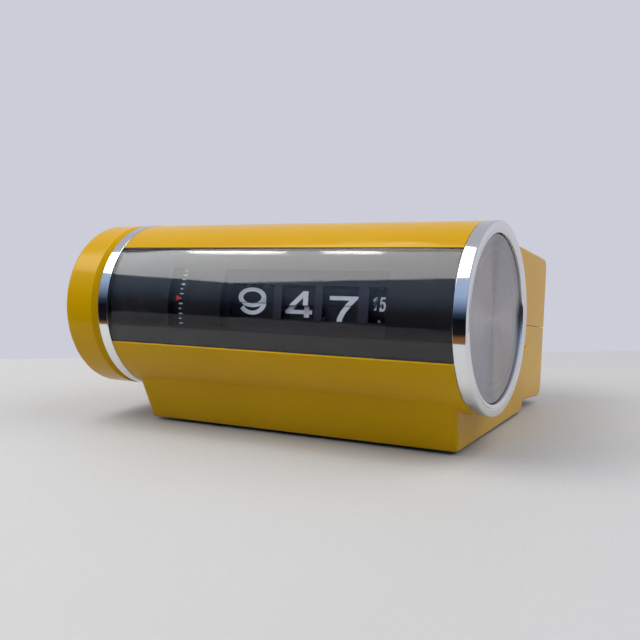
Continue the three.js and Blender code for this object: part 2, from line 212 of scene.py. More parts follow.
def slab(name, outline, start, end, axis="X", place=LEAN, sharp=32):
    """An outline run along one axis; its two numbers are the other two axes, in their order."""
    count = len(outline)
    points = []
    for depth in (start, end):
        for a, b in outline:
            point = {"X": (depth, a, b), "Y": (a, depth, b), "Z": (a, b, depth)}[axis]
            points.append(point)
    faces = grid_faces(2, count, False, True)
    faces.append(tuple(range(count)))
    faces.append(tuple(range(2 * count - 1, count - 1, -1)))
    return piece(name, points, faces, place, sharp)


def axis_at(point, direction):
    """A place whose X axis starts at a point and runs in a direction."""
    turn = Vector((1, 0, 0)).rotation_difference(Vector(direction))
    return Matrix.Translation(point) @ turn.to_matrix().to_4x4()


def arc(centre, radii, start, end, steps):
    """Points on an ellipse, between two angles in degrees."""
    points = []
    for step in range(steps + 1):
        angle = math.radians(start + (end - start) * step / steps)
        points.append((centre[0] + radii[0] * math.cos(angle), centre[1] + radii[1] * math.sin(angle)))
    return points


def front(radius, angle):
    """A point of the tube's front, at an angle in radians above its mid plane."""
    return (-radius * math.cos(angle), radius * math.sin(angle))


# ---- the two halves of the case ----
upper_low, upper_high = lean_box("upper_case")
lower_low, lower_high = lean_box("lower_case")
housing_low, housing_high = lean_box("upper_case", behind=60 * MM)
tube_radius = upper_high.z
tube_left, tube_right = upper_low.x, upper_high.x
window_top = math.acos(-upper_low.y / tube_radius)
window_bottom = -math.acos(-lower_low.y / tube_radius)
TAPER = math.tan(math.radians(1.84))
CORNER = 6 * MM
SIDE_EDGE = 1.5 * MM


def tube_line(edge, seam, inset, lips):
    """The tube's side of a half case, from the window's edge over the top to the seam at the rear."""
    radius = tube_radius - inset
    points = []
    for lip in lips:
        depth = EDGE * (1 - math.cos(lip))
        along = EDGE * (1 - math.sin(lip)) / radius
        points.append(front(radius - depth, edge + along))
    for step in range(1, FRONT_STEPS + 1):
        points.append(front(radius, edge + (math.pi / 2 - edge) * step / FRONT_STEPS))
    last = math.pi - math.asin((seam + EDGE) / radius)
    for share in housing_shares():
        points.append(front(radius, math.pi / 2 + (last - math.pi / 2) * share))
    for lip in reversed(lips):
        depth = EDGE * (1 - math.cos(lip))
        height = seam + EDGE * (1 - math.sin(lip))
        points.append((math.sqrt((radius - depth) ** 2 - height ** 2), height))
    return points


FRONT_STEPS = 24
TOP_STEPS = 12
CORNER_STEPS = 7
REAR_STEPS = 5
TOP_SHARE = 0.62  # of the way round the rear
CORNER_SHARE = 0.12


def housing_shares():
    """How far round the rear each of the housing's points lies, from 0 at the top to 1 at the seam."""
    done = TOP_SHARE + CORNER_SHARE
    top = [TOP_SHARE * step / TOP_STEPS for step in range(1, TOP_STEPS)]
    corner = [TOP_SHARE + CORNER_SHARE * step / CORNER_STEPS for step in range(CORNER_STEPS + 1)]
    rear = [done + (1 - done) * step / REAR_STEPS for step in range(1, REAR_STEPS)]
    return top + corner + rear


def housing_line(edge, seam, inset, lips, rear, shrink=0.0):
    """The housing's side of a half case: tangent top, round rear corner and rear face."""
    count = len(lips) + FRONT_STEPS
    points = tube_line(edge, seam, inset, lips)[:count]
    deep = inset + shrink
    corner = CORNER - deep
    corner_y = rear - CORNER
    corner_z = tube_radius - rear * TAPER - CORNER
    for step in range(1, TOP_STEPS):
        y = corner_y * step / TOP_STEPS
        start = tube_radius - inset - shrink * min(1, y / CORNER)
        points.append((y, start + (corner_z + corner - start) * y / corner_y))
    for step in range(CORNER_STEPS + 1):
        angle = math.pi / 2 * (1 - step / CORNER_STEPS)
        points.append((corner_y + corner * math.cos(angle), corner_z + corner * math.sin(angle)))
    for step in range(1, REAR_STEPS):
        z = corner_z + (seam + EDGE - corner_z) * step / REAR_STEPS
        points.append((rear - deep, z))
    for lip in reversed(lips):
        depth = EDGE * (1 - math.cos(lip))
        points.append((rear - deep - depth, seam + EDGE * (1 - math.sin(lip))))
    return points


def between(first, second, share):
    return [(a[0] + (b[0] - a[0]) * share, a[1] + (b[1] - a[1]) * share) for a, b in zip(first, second)]


def half_case(name, edge, seam, rear, up):
    """One half of the case as a closed shell: outer and inner skin, with rounded free edges."""
    round_lips = [math.pi / 2 * share for share in (1, 0.66, 0.33, 0)]
    flat_lips = [math.pi / 2, 0]
    outer_tube = tube_line(edge, seam, 0, round_lips)
    inner_tube = tube_line(edge, seam, WALL, flat_lips)
    inner_housing = housing_line(edge, seam, WALL, flat_lips, rear)
    left, right = housing_low.x, housing_high.x
    wall_steps = (0, 0.4, 0.75, 1)
    bends = [math.pi / 2 * share for share in (0.25, 0.5, 0.75, 1)]
    # Each row: outer x, share of the housing in the outer line, its shrink, inner x, inner share.
    rows = [(tube_left, 0, 0, tube_left, 0)]
    for share in wall_steps:
        rows.append((left, share, SIDE_EDGE, left + WALL, share))
    for bend in bends:
        x = left + SIDE_EDGE * (1 - math.cos(bend))
        rows.append((x, 1, SIDE_EDGE * (1 - math.sin(bend)), left + WALL, 1))
    for step in range(1, 12):
        x = left + (right - left) * step / 12
        rows.append((x, 1, 0, x, 1))
    for bend in reversed(bends):
        x = right - SIDE_EDGE * (1 - math.cos(bend))
        rows.append((x, 1, SIDE_EDGE * (1 - math.sin(bend)), right - WALL, 1))
    for share in reversed(wall_steps):
        rows.append((right, share, SIDE_EDGE, right - WALL, share))
    rows.append((tube_right, 0, 0, tube_right, 0))
    points = []
    for outer_x, outer_share, shrink, inner_x, inner_share in rows:
        outer_housing = housing_line(edge, seam, 0, round_lips, rear, shrink)
        outer = between(outer_tube, outer_housing, outer_share)
        inner = between(inner_tube, inner_housing, inner_share)
        points += [(outer_x, y, up * z) for y, z in outer]
        points += [(inner_x, y, up * z) for y, z in reversed(inner)]
    columns = len(outer_tube) + len(inner_tube)
    faces = grid_faces(len(rows), columns, False, True)
    for start in (0, (len(rows) - 1) * columns):
        faces.append(tuple(range(start, start + columns)))
    return piece(name, points, faces)


def control_centre(node):
    """The centre of a rear control in the leaning frame; the knob's is on its joint's axis."""
    if node == "time_set_knob":
        return leaning(joints["time_set_turn"]["pos_m"])
    low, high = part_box(node)
    return leaning((low + high) / 2)


def rear_hole(case, node, radius, reach=8 * MM):
    """A round hole in the rear wall, on the axis of a rear control."""
    start = control_centre(node)
    rear = upper_high.y
    point = LEAN @ Vector((start.x, rear - reach, start.z))
    profile = [(0, 0), (0, radius), (2 * reach, radius), (2 * reach, 0)]
    return boolean(case, turned("tool", profile, axis_at(point, slide), 64))


def foot_walls(name):
    """The foot's four walls: a rounded oblong at each height, outside and inside, in the level frame."""
    bottom_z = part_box("lower_case")[0].z - tube_axis.z
    middle = 10.1 * MM
    half_length, half_taper = 91.2 * MM, 2.3 * MM
    front_y, front_slope = -26.2 * MM, 8.1 * MM
    rear_y, rear_slope = 90.3 * MM, 4 * MM
    crease_z = -36.3 * MM
    hidden_z = -34.2 * MM  # the front wall ends inside the tube's wall
    top_z = -24 * MM
    edge = 0.7 * MM

    def oblong(z, inset):
        below = min(1, max(0, (crease_z - z) / (crease_z - bottom_z)))
        half = half_length - half_taper * below - inset
        y0 = front_y + front_slope * below + inset
        y1 = rear_y - rear_slope * (top_z - z) / (top_z - bottom_z) - inset
        radius = max(3 * MM - inset, 0.6 * MM)
        return box_outline(middle - half, middle + half, y0, y1, radius)

    levels = [(top_z, edge), (top_z - edge, 0), (crease_z, 0)]
    levels += [(crease_z + (bottom_z - crease_z) * step / 4, 0) for step in (1, 2, 3)]
    levels += [(bottom_z + edge, 0), (bottom_z + 0.3 * edge, 0.3 * edge), (bottom_z, edge)]
    levels += [(bottom_z, WALL), (crease_z, WALL), (top_z, WALL)]
    points = []
    for z, inset in levels:
        for x, y in oblong(z, inset):
            height = min(z, hidden_z) if y < -20 * MM else z
            points.append((x, y, height))
    count = len(points) // len(levels)
    return piece(name, points, grid_faces(len(levels), count, True, True), LEVEL)


def make_case():
    stem_hole, switch_hole, inlet_hole = 3.3 * MM, 4.3 * MM, 6.8 * MM
    seam_step = 0.4 * MM  # the lower half's rear wall stands this much further in
    upper = half_case("upper_case_shell", window_top, upper_low.z, upper_high.y, 1)
    rear_hole(upper, "time_set_knob", stem_hole)
    rear_hole(upper, "alarm_switch", switch_hole)
    finish_piece(upper, "case", yellow, "upper_case")
    lower_rear = upper_high.y - seam_step
    lower = half_case("lower_case_shell", -window_bottom, -lower_high.z, lower_rear, -1)
    rear_hole(lower, "cord_inlet", inlet_hole)
    joined(lower, foot_walls("foot"))
    finish_piece(lower, "case", yellow, "lower_case")


def weighted(obj):
    """Lets large faces keep their own direction, so that long flat stretches reflect straight."""
    obj.modifiers.new("weighted normals", "WEIGHTED_NORMAL").keep_sharp = True
    applied(obj)


def finish_piece(obj, body, look, replaced=None):
    """Gives a piece its material and its body, and hides the CAD node it stands in for, if it has one."""
    weighted(obj)
    obj.data.materials.clear()
    obj.data.materials.append(look)
    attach(obj, body)
    if replaced:
        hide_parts(replaced)
    return obj


def make_base():
    low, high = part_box("base_plate")
    outline = box_outline(low.x, high.x, low.y, high.y, 2.4 * MM)
    plate = slab("base_plate_moulding", outline, low.z, high.z, "Z", Matrix.Identity(4))
    softened(plate, 0.3 * MM)
    finish_piece(plate, "case", black, "base_plate")
    for index in (1, 2, 3, 4):
        low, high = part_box(f"foot_pad_{index}")
        radius = (high.x - low.x) / 2
        height = high.z - low.z
        profile = rounded([
            (0, 0, 0),
            (0, radius - 0.5 * MM, 0.6 * MM),
            (height, radius, 0.2 * MM),
            (height, 0, 0),
        ])
        middle = (low + high) / 2
        place = axis_at((middle.x, middle.y, low.z), (0, 0, 1))
        pad = turned(f"foot_pad_{index}_rubber", profile, place, 64)
        finish_piece(pad, "case", rubber, f"foot_pad_{index}")
        screw_y = middle.y + (16 if middle.y < 0 else -16) * MM
        make_screw(f"base_screw_{index}", (middle.x, screw_y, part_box("base_plate")[0].z))


def make_screw(name, top):
    """A flat cross-head screw under the base plate."""
    height = 0.45 * MM
    radius = 2.8 * MM
    profile = rounded([(0, 0, 0), (0, radius, 0), (height, radius - 0.3 * MM, 0.2 * MM), (height, 0, 0)])
    head = turned(name, profile, axis_at(top, (0, 0, -1)), 40)
    for turn in (0, 90):
        place = Matrix.Translation(top) @ Matrix.Rotation(math.radians(turn), 4, "Z")
        bar = box_outline(-1.6 * MM, 1.6 * MM, -0.3 * MM, 0.3 * MM, 0.1 * MM)
        boolean(head, slab("tool", bar, -2 * height, -0.3 * height, "Z", place))
    finish_piece(head, "case", steel)


# ---- ends of the tube ----
BORE = 39.2 * MM
DISC_RIM = 38.9 * MM


def make_right_ring():
    start, end = lean_box("right_ring")[0].x, RIGHT_END
    lip = 1.9 * MM
    profile = rounded([
        (start, BORE, 0),
        (start, ring_radius, 0.25 * MM),
        (end, ring_radius, 0.7 * MM),
        (end, BORE + lip + 0.5 * MM, 0.1 * MM),
        (end - 0.35 * MM, BORE + lip, 0.1 * MM),
        (end - 0.05 * MM, BORE + lip - 0.3 * MM, 0.2 * MM),
        (end - 0.3 * MM, BORE, 0.8 * MM),
    ], 6)
    ring = turned("right_ring_chrome", profile, steps=256, sharp=50)
    finish_piece(ring, "case", chrome, "right_ring")


def make_left_ring():
    low, high = lean_box("left_ring")
    profile = rounded([
        (high.x, BORE, 0),
        (high.x, ring_radius, 0.25 * MM),
        (low.x, ring_radius, 0.5 * MM),
        (low.x, BORE, 0.4 * MM),
    ], 6)
    ring = turned("left_ring_chrome", profile, steps=256, sharp=50)
    finish_piece(ring, "case", chrome, "left_ring")


def make_end_disc():
    """The spun disc: a little dished, with a small flat at its middle and a turned-down rim."""
    right = lean_box("end_disc")[1].x
    thickness = 1.5 * MM
    dish = 1.2 * MM
    back = [(right - thickness - dish, 0), (right - thickness, DISC_RIM)]
    face = [(right, DISC_RIM), (right, DISC_RIM - 0.8 * MM)]
    steps = 20
    for step in range(steps, -1, -1):
        radius = (DISC_RIM - 1.6 * MM) * step / steps
        depth = dish * (1 - (radius / DISC_RIM) ** 2)
        face.append((right - 0.15 * MM - depth * 0.85, radius))
    disc = turned("end_disc_spun", back + face, steps=256, sharp=40)
    finish_piece(disc, "case", spun, "end_disc")


def make_end_plate():
    low, high = lean_box("end_plate")
    bore = 4.3 * MM
    profile = rounded([
        (low.x, bore, 0.2 * MM),
        (low.x, DISC_RIM, 0.3 * MM),
        (high.x, DISC_RIM, 0.3 * MM),
        (high.x, bore, 0.2 * MM),
    ])
    plate = turned("end_plate_moulding", profile, steps=128)
    finish_piece(plate, "case", black, "end_plate")


def make_alarm_knob():
    """The yellow cap with its spindle; it narrows to a neck beside the left ring."""
    low, high = lean_box("alarm_knob")
    outer = (high.z - low.z) / 2
    near = lean_box("left_ring")[0].x - 0.5 * MM
    shoulder = near - 4.5 * MM
    neck = 41.4 * MM
    stem = 4 * MM
    profile = rounded([
        (low.x, 0, 0),
        (low.x, outer, 2.6 * MM),
        (shoulder, outer, 0.6 * MM),
        (near, neck, 0.4 * MM),
        (near, neck - WALL, 0.3 * MM),
        (shoulder, outer - WALL, 0),
        (low.x + WALL, outer - WALL, 1 * MM),
        (low.x + WALL, stem, 0.5 * MM),
        (high.x, stem, 0.5 * MM),
        (high.x, 0, 0),
    ], 8)
    knob = turned("alarm_knob_cap", profile, steps=256, sharp=40)
    finish_piece(knob, "alarm_knob", yellow, "alarm_knob")


def drum_profile(low, high, radius, bore, hub, rim, web, hub_edge):
    """An open drum's section: a bored hub, a web at the right end and a rim."""
    return rounded([
        (low.x, bore, 0),
        (low.x, hub, hub_edge),
        (high.x - web, hub, hub_edge),
        (high.x - web, radius - rim, 0.3 * MM),
        (low.x, radius - rim, 0.2 * MM),
        (low.x, radius, 0.3 * MM),
        (high.x, radius, 0.3 * MM),
        (high.x, bore, 0),
    ])


def make_alarm_dial():
    """The dial drum behind the slot, with a mark for every quarter of an hour of a day."""
    low, high = lean_box("alarm_dial")
    radius = (high.z - low.z) / 2
    bore, hub = 4.3 * MM, 8.3 * MM
    rim, web = 1.4 * MM, 1.6 * MM
    profile = drum_profile(low, high, radius, bore, hub, rim, web, 0.3 * MM)
    dial = turned("alarm_dial_drum", profile, steps=144)
    finish_piece(dial, "alarm_knob", leaf_black, "alarm_dial")
    marks = []
    quarters = 96
    start = low.x + 5.6 * MM
    for index in range(quarters):
        length = (2.2 if index % 2 == 0 else 1.4) * MM
        half = (0.30 if index % 4 == 0 else 0.20) * MM
        outline = box_outline(start, start + length, -half, half, 0.1 * MM)
        place = LEAN @ Matrix.Rotation(2 * math.pi * index / quarters, 4, "X")
        marks.append(slab("mark", outline, radius - 0.05 * MM, radius + PRINT, "Z", place))
    print_piece(marks, "alarm_dial_marks", "alarm_knob", white)


PRINT = 0.06 * MM  # thickness of printed marks


def print_piece(parts, name, body, look):
    obj = parts[0]
    obj.name = name
    joined(obj, *parts[1:])
    return finish_piece(obj, body, look)


# ---- display ----
def make_window():
    low, high = lean_box("smoked_window")
    outer = tube_radius - 0.1 * MM
    thickness = 2 * MM
    margin = math.radians(0.4)
    start = math.degrees(window_bottom + margin)
    end = math.degrees(window_top - margin)
    outside = [front(outer, math.radians(start + (end - start) * step / 64)) for step in range(65)]
    inside = [front(outer - thickness, math.radians(end - (end - start) * step / 64)) for step in range(65)]
    lens = slab("smoked_window_lens", outside + inside, low.x, high.x)
    softened(lens, 0.25 * MM, 2, 50)
    finish_piece(lens, "case", smoked, "smoked_window")


def cell_box(node):
    """Left and right side of a leaf's plate, without its pins."""
    low, high = lean_box(node)
    pin = 1.0 * MM
    return low.x + pin, high.x - pin


def band(name, inner, outer, bottom, top, left, right, steps=64):
    angles = [bottom + (top - bottom) * step / steps for step in range(steps + 1)]
    outline = [front(outer, angle) for angle in angles]
    outline += [front(inner, angle) for angle in reversed(angles)]
    return slab(name, outline, left, right)


def window_tool(left, right, bottom, top, radius, corner):
    """A cutter that runs forward through the tube's front, with round corners."""
    low_z = radius * math.sin(bottom)
    high_z = radius * math.sin(top)
    outline = box_outline(left, right, low_z, high_z, corner)
    return slab("tool", outline, -60 * MM, -20 * MM, "Y")


def make_mask():
    low, high = lean_box("display_mask")
    radius = 41.4 * MM
    inner = radius - 1 * MM
    overlap = math.radians(2.2)
    bottom = window_bottom - overlap
    top = window_top + overlap
    mask = band("display_mask_moulding", inner, radius, bottom, top, low.x, high.x, 72)
    opening = (math.radians(-16.5), math.radians(24.8))
    boolean(mask, window_tool(-14 * MM, 74.5 * MM, *opening, radius, 1.2 * MM))
    boolean(mask, window_tool(-46 * MM, -35 * MM, *opening, radius, 1.6 * MM))
    lip_top = (-38.3 * MM, -5.4 * MM)
    lip_back = (-37.6 * MM, -5.6 * MM)
    lip = [
        front(radius, opening[0] - math.radians(0.3)),
        lip_top,
        lip_back,
        front(inner, opening[0] - math.radians(2)),
    ]
    sill = slab("sill", lip, -13.9 * MM, 73.9 * MM)
    softened(sill, 0.12 * MM)
    joined(mask, sill)
    finish_piece(mask, "case", mask_black, "display_mask")


def make_pointer():
    """The red pointer of the alarm dial, on a black arm behind the slot's left edge."""
    tip_x, tip_z = -39.4 * MM, 2.6 * MM
    length, half = 3.3 * MM, 1.4 * MM
    outline = [(tip_x - length, tip_z - half), (tip_x, tip_z), (tip_x - length, tip_z + half)]
    pointer = slab("alarm_pointer", outline, -39.2 * MM, -38.8 * MM, "Y")
    softened(pointer, 0.08 * MM)
    finish_piece(pointer, "case", red)
    left, right = -46.6 * MM, tip_x - length + 0.3 * MM
    outline = box_outline(left, right, tip_z - 0.5 * MM, tip_z + 0.5 * MM, 0.1 * MM)
    arm = slab("alarm_pointer_arm", outline, -39.4 * MM, -38.9 * MM, "Y")
    softened(arm, 0.08 * MM)
    finish_piece(arm, "case", mask_black)


def make_display_frame():
    low, high = lean_box("display_frame")
    outline = box_outline(low.x, high.x, low.z, high.z, 1 * MM)
    plate = slab("display_frame_moulding", outline, low.y, high.y, "Y")
    cells = [
        (-13.9 * MM, 11.7 * MM),
        (16.2 * MM, 34.3 * MM),
        (38.4 * MM, 57.0 * MM),
        (62.3 * MM, 72.6 * MM),
    ]
    for left, right in cells:
        hole = box_outline(left, right, -9.2 * MM, 10.8 * MM, 0.5 * MM)
        boolean(plate, slab("tool", hole, low.y - 2 * MM, high.y + 2 * MM, "Y"))
    softened(plate, 0.12 * MM)
    finish_piece(plate, "case", frame_black, "display_frame")


# ---- numerals, drawn as strokes in a unit box ----
def glyph(digit):
    """Centre lines of a digit's strokes: (points, closed)."""
    if digit == 0:
        return [(arc((0.5, 0.5), (0.5, 0.5), 0, 342, 19), True)]
    if digit == 1:
        return [([(0.08, 0.74), (0.62, 1.0), (0.62, 0.0)], False)]
    if digit == 2:
        top = arc((0.5, 0.70), (0.48, 0.30), 165, -40, 12)
        return [(top + [(0.04, 0.0), (1.0, 0.0)], False)]
    if digit == 3:
        top = arc((0.48, 0.755), (0.43, 0.245), 160, -80, 12)
        low = arc((0.48, 0.265), (0.5, 0.265), 85, -162, 14)
        return [(top, False), (low, False)]
    if digit == 4:
        return [([(0.78, 0.0), (0.78, 1.06), (0.0, 0.22), (1.0, 0.22)], False)]
    if digit == 5:
        bowl = arc((0.48, 0.32), (0.51, 0.32), 140, -160, 14)
        return [([(0.93, 1.0), (0.16, 1.0), (0.08, 0.50)] + bowl, False)]
    if digit == 6:
        return [(turned_over(points), closed) for points, closed in glyph(9)]
    if digit == 7:
        return [([(0.0, 1.0), (0.97, 1.0), (0.72, 0.72), (0.52, 0.44), (0.41, 0.18), (0.38, -0.05)], False)]
    if digit == 8:
        return [
            (arc((0.5, 0.755), (0.43, 0.245), 0, 340, 17), True),
            (arc((0.5, 0.265), (0.5, 0.265), 0, 340, 17), True),
        ]
    bowl = (arc((0.5, 0.66), (0.5, 0.34), 0, 342, 19), True)
    tail = [(1.0, 0.66), (1.0, 0.54)] + arc((0.5, 0.45), (0.5, 0.45), 0, -152, 12)
    return [bowl, (tail, False)]


def turned_over(points):
    return [(1 - a, 1 - b) for a, b in points]


def side_line(points, closed, thick, thin, side):
    """One edge of a stroke: upright stretches are thick and level ones thin."""
    count = len(points)
    segments = []
    for index in range(count if closed else count - 1):
        step = points[(index + 1) % count] - points[index]
        way = step.normalized()
        half = side * (thin + (thick - thin) * abs(way.y) ** 1.5) / 2
        segments.append((way, Vector((-way.y, way.x)) * half))
    line = []
    for index, point in enumerate(points):
        before = segments[index - 1] if closed or index > 0 else segments[0]
        after = segments[index % len(segments)] if closed or index < count - 1 else segments[-1]
        cross = before[0].x * after[0].y - before[0].y * after[0].x
        if abs(cross) < 0.02:
            line.append(point + (before[1] + after[1]) / 2)
            continue
        gap = after[1] - before[1]
        reach = (gap.x * after[0].y - gap.y * after[0].x) / cross
        line.append(point + before[1] + before[0] * reach)
    return line


def cut_away(work, point, normal):
    """Removes what lies beyond a plane and closes the cut."""
    everything = work.verts[:] + work.edges[:] + work.faces[:]
    bmesh.ops.bisect_plane(work, geom=everything, plane_co=point, plane_no=normal, clear_outer=True)
    open_edges = [edge for edge in work.edges if edge.is_boundary]
    if open_edges:
        bmesh.ops.holes_fill(work, edges=open_edges, sides=0)


def digit_solid(digit, width, height, thick, thin):
    """A flat solid of one digit: x across, z up, y from 0 to the print's thickness."""
    work = bmesh.new()
    inside = (width - thick, height - thin)
    for line, closed in glyph(digit):
        points = [Vector((thick / 2 + a * inside[0], thin / 2 + b * inside[1])) for a, b in line]
        left = side_line(points, closed, thick, thin, 1)
        right = side_line(points, closed, thick, thin, -1)
        corners = []
        for a, b in zip(left, right):
            corners.append([
                work.verts.new((a.x, 0, a.y)),
                work.verts.new((b.x, 0, b.y)),
                work.verts.new((b.x, PRINT, b.y)),
                work.verts.new((a.x, PRINT, a.y)),
            ])
        count = len(corners)
        for index in range(count if closed else count - 1):
            here, there = corners[index], corners[(index + 1) % count]
            for k in range(4):
                work.faces.new((here[k], there[k], there[(k + 1) % 4], here[(k + 1) % 4]))
        if not closed:
            work.faces.new(corners[0])
            work.faces.new(reversed(corners[-1]))
    cut_away(work, (0, 0, 0), (-1, 0, 0))
    cut_away(work, (width, 0, 0), (1, 0, 0))
    cut_away(work, (0, 0, 0), (0, 0, -1))
    cut_away(work, (0, 0, height), (0, 0, 1))
    return work


def number_solid(number, width, height, thick, thin):
    """A number's digits side by side, its middle at the origin."""
    digits = [int(letter) for letter in str(number)]
    work = bmesh.new()
    space = 0.12 * width
    each = width if len(digits) == 1 else (width * 1.36 - space) / 2
    total = each * len(digits) + space * (len(digits) - 1)
    for place, digit in enumerate(digits):
        part = digit_solid(digit, each, height, thick if len(digits) == 1 else thick * 0.9, thin)
        shift = Vector((place * (each + space) - total / 2, 0, -height / 2))
        bmesh.ops.translate(part, vec=shift, verts=part.verts)
        mesh = bpy.data.meshes.new("digit")
        part.to_mesh(mesh)
        part.free()
        work.from_mesh(mesh)
        bpy.data.meshes.remove(mesh)
    return work


def object_of(work, name, place=LEAN):
    mesh = bpy.data.meshes.new(name)
    bmesh.ops.recalc_face_normals(work, faces=work.faces)
    work.to_mesh(mesh)
    work.free()
    mesh.transform(place)
    return linked(name, mesh)


# ---- leaves ----
LEAF = 0.3 * MM
leaf_drums = {
    "hour": {"count": 12, "first": 9, "shift": 0.8 * MM, "left": -0.6 * MM},
    "tens": {"count": 6, "first": 4, "shift": 0.2 * MM, "left": -0.6 * MM},
    "units": {"count": 10, "first": 7, "shift": -2.2 * MM, "left": 0.7 * MM},
}


def value_of(drum, index):
    """The number that shows when a leaf stands at the front."""
    settings = leaf_drums[drum]
    value = settings["first"] + index
    return (value - 1) % 12 + 1 if drum == "hour" else value % settings["count"]


def half_number(number, upper, shift):
    """A number's upper or lower half, around the split line at z = 0."""
    width, height = 16.2 * MM, 13.2 * MM
    thick, thin = 2.7 * MM, 1.9 * MM
    work = number_solid(number, width, height, thick, thin)
    bmesh.ops.translate(work, vec=(0, 0, shift), verts=work.verts)
    split = 0.12 * MM
    leaf_edge = 7.7 * MM
    side = 1 if upper else -1
    cut_away(work, (0, 0, side * split), (0, 0, -side))
    cut_away(work, (0, 0, side * leaf_edge), (0, 0, side))
    return work


def make_leaves(drum):
    settings = leaf_drums[drum]
    count = settings["count"]
    axis = leaning(joints[f"{drum}_drum_turn"]["pos_m"])
    pivot = leaning(joints[f"{drum}_leaf_fall"]["pos_m"])
    first_low, first_high = lean_box(f"{drum}_leaf_1")
    left, right = cell_box(f"{drum}_leaf_1")
    middle = (left + right) / 2
    arm = Vector((0, pivot.y - axis.y, pivot.z - axis.z))
    last = Matrix.Rotation(math.radians(360 / count), 3, "X") @ arm
    tail = (arm.z - last.z) / 2
    top = first_high.z - pivot.z
    for index in range(count):
        turn = math.radians(360 * index / count)
        moved = Matrix.Rotation(-turn, 3, "X") @ arm
        lean = min(turn, math.pi)
        origin = Vector((middle, axis.y + moved.y, axis.z + moved.z))
        place = LEAN @ Matrix.Translation(origin) @ Matrix.Rotation(-lean, 4, "X")
        body = f"{drum}_falling_leaf" if index == 0 else f"{drum}_drum"
        name = f"{drum}_leaf_{index + 1}"
        half = (right - left) / 2
        outline = rounded([
            (-half, 0.1 * MM - tail, 0.3 * MM),
            (half, 0.1 * MM - tail, 0.3 * MM),
            (half, top, 0.9 * MM),
            (-half, top, 0.9 * MM),
        ], 3)
        plate = slab(f"{name}_plate", outline, -LEAF / 2, LEAF / 2, "Y", place)
        pins = []
        for side in (-1, 1):
            profile = [(0, 0), (0, 0.25 * MM), (1.5 * MM, 0.25 * MM), (1.5 * MM, 0)]
            pin_place = place @ axis_at((side * (half - 0.5 * MM), 0, 0), (side, 0, 0))
            pins.append(turned("pin", profile, pin_place, 12))
        joined(plate, *pins)
        finish_piece(plate, body, leaf_black, name)
        upper = half_number(value_of(drum, index), True, settings["shift"])
        shift = Vector((settings["left"], -LEAF / 2 - PRINT + 0.01 * MM, -tail))
        bmesh.ops.translate(upper, vec=shift, verts=upper.verts)
        lower = half_number(value_of(drum, index + 1), False, settings["shift"])
        shift = Vector((settings["left"], -LEAF / 2 - PRINT + 0.01 * MM, tail))
        bmesh.ops.translate(lower, vec=shift, verts=lower.verts)
        over = Matrix.Rotation(math.pi, 4, "X")
        bmesh.ops.transform(lower, matrix=over, verts=lower.verts)
        prints = object_of(upper, f"{name}_numerals", place)
        joined(prints, object_of(lower, "lower half", place))
        finish_piece(prints, body, white)


# ---- seconds drum ----
def make_seconds_drum():
    """The drum with 0, 15, 30 and 45 on its rim, and a dot for each five seconds between them."""
    low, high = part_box("seconds_drum")
    radius = (high.z - low.z) / 2
    bore, hub = 1.9 * MM, 4.4 * MM
    rim, web = 1.3 * MM, 1.6 * MM
    axis = Vector(joints["seconds_turn"]["pos_m"])
    place = Matrix.Translation((0, axis.y, axis.z)) @ Matrix.Rotation(-tilt, 4, "X")
    profile = drum_profile(low, high, radius, bore, hub, rim, web, 0.2 * MM)
    drum = turned("seconds_drum_rim", profile, place, 144)
    finish_piece(drum, "seconds_drum", leaf_black, "seconds_drum")
    middle = (low.x + high.x) / 2 - 0.4 * MM
    shown = 15
    at_front = 7.0
    parts = []
    for second in range(0, 60, 5):
        angle = at_front + 6 * (second - shown)
        if second % 15 == 0:
            work = number_solid(second, 5.2 * MM, 6.5 * MM, 1.15 * MM, 0.85 * MM)
            bmesh.ops.subdivide_edges(work, edges=work.edges, cuts=2, use_grid_fill=True)
        else:
            work = bmesh.new()
            dot = arc((0, 0), (0.65 * MM, 0.65 * MM), 0, 345, 23)
            ring = [work.verts.new((x, 0, z)) for x, z in dot]
            face = work.faces.new(ring)
            grown = bmesh.ops.extrude_face_region(work, geom=[face])
            raised = [v for v in grown["geom"] if isinstance(v, bmesh.types.BMVert)]
            bmesh.ops.translate(work, vec=(0, PRINT, 0), verts=raised)
        for vertex in work.verts:
            x, y, z = vertex.co
            turn = math.radians(angle) + z / radius
            distance = radius + PRINT - 0.01 * MM - y
            vertex.co = (middle + x, -distance * math.cos(turn), distance * math.sin(turn))
        parts.append(object_of(work, "seconds print", place))
    print_piece(parts, "seconds_drum_numerals", "seconds_drum", white)


# ---- rear controls ----
def control_place(node):
    """The place of a rear control: its own axis, from the plane of the rear wall outwards."""
    middle = control_centre(node)
    return axis_at(LEAN @ Vector((middle.x, upper_high.y, middle.z)), slide)


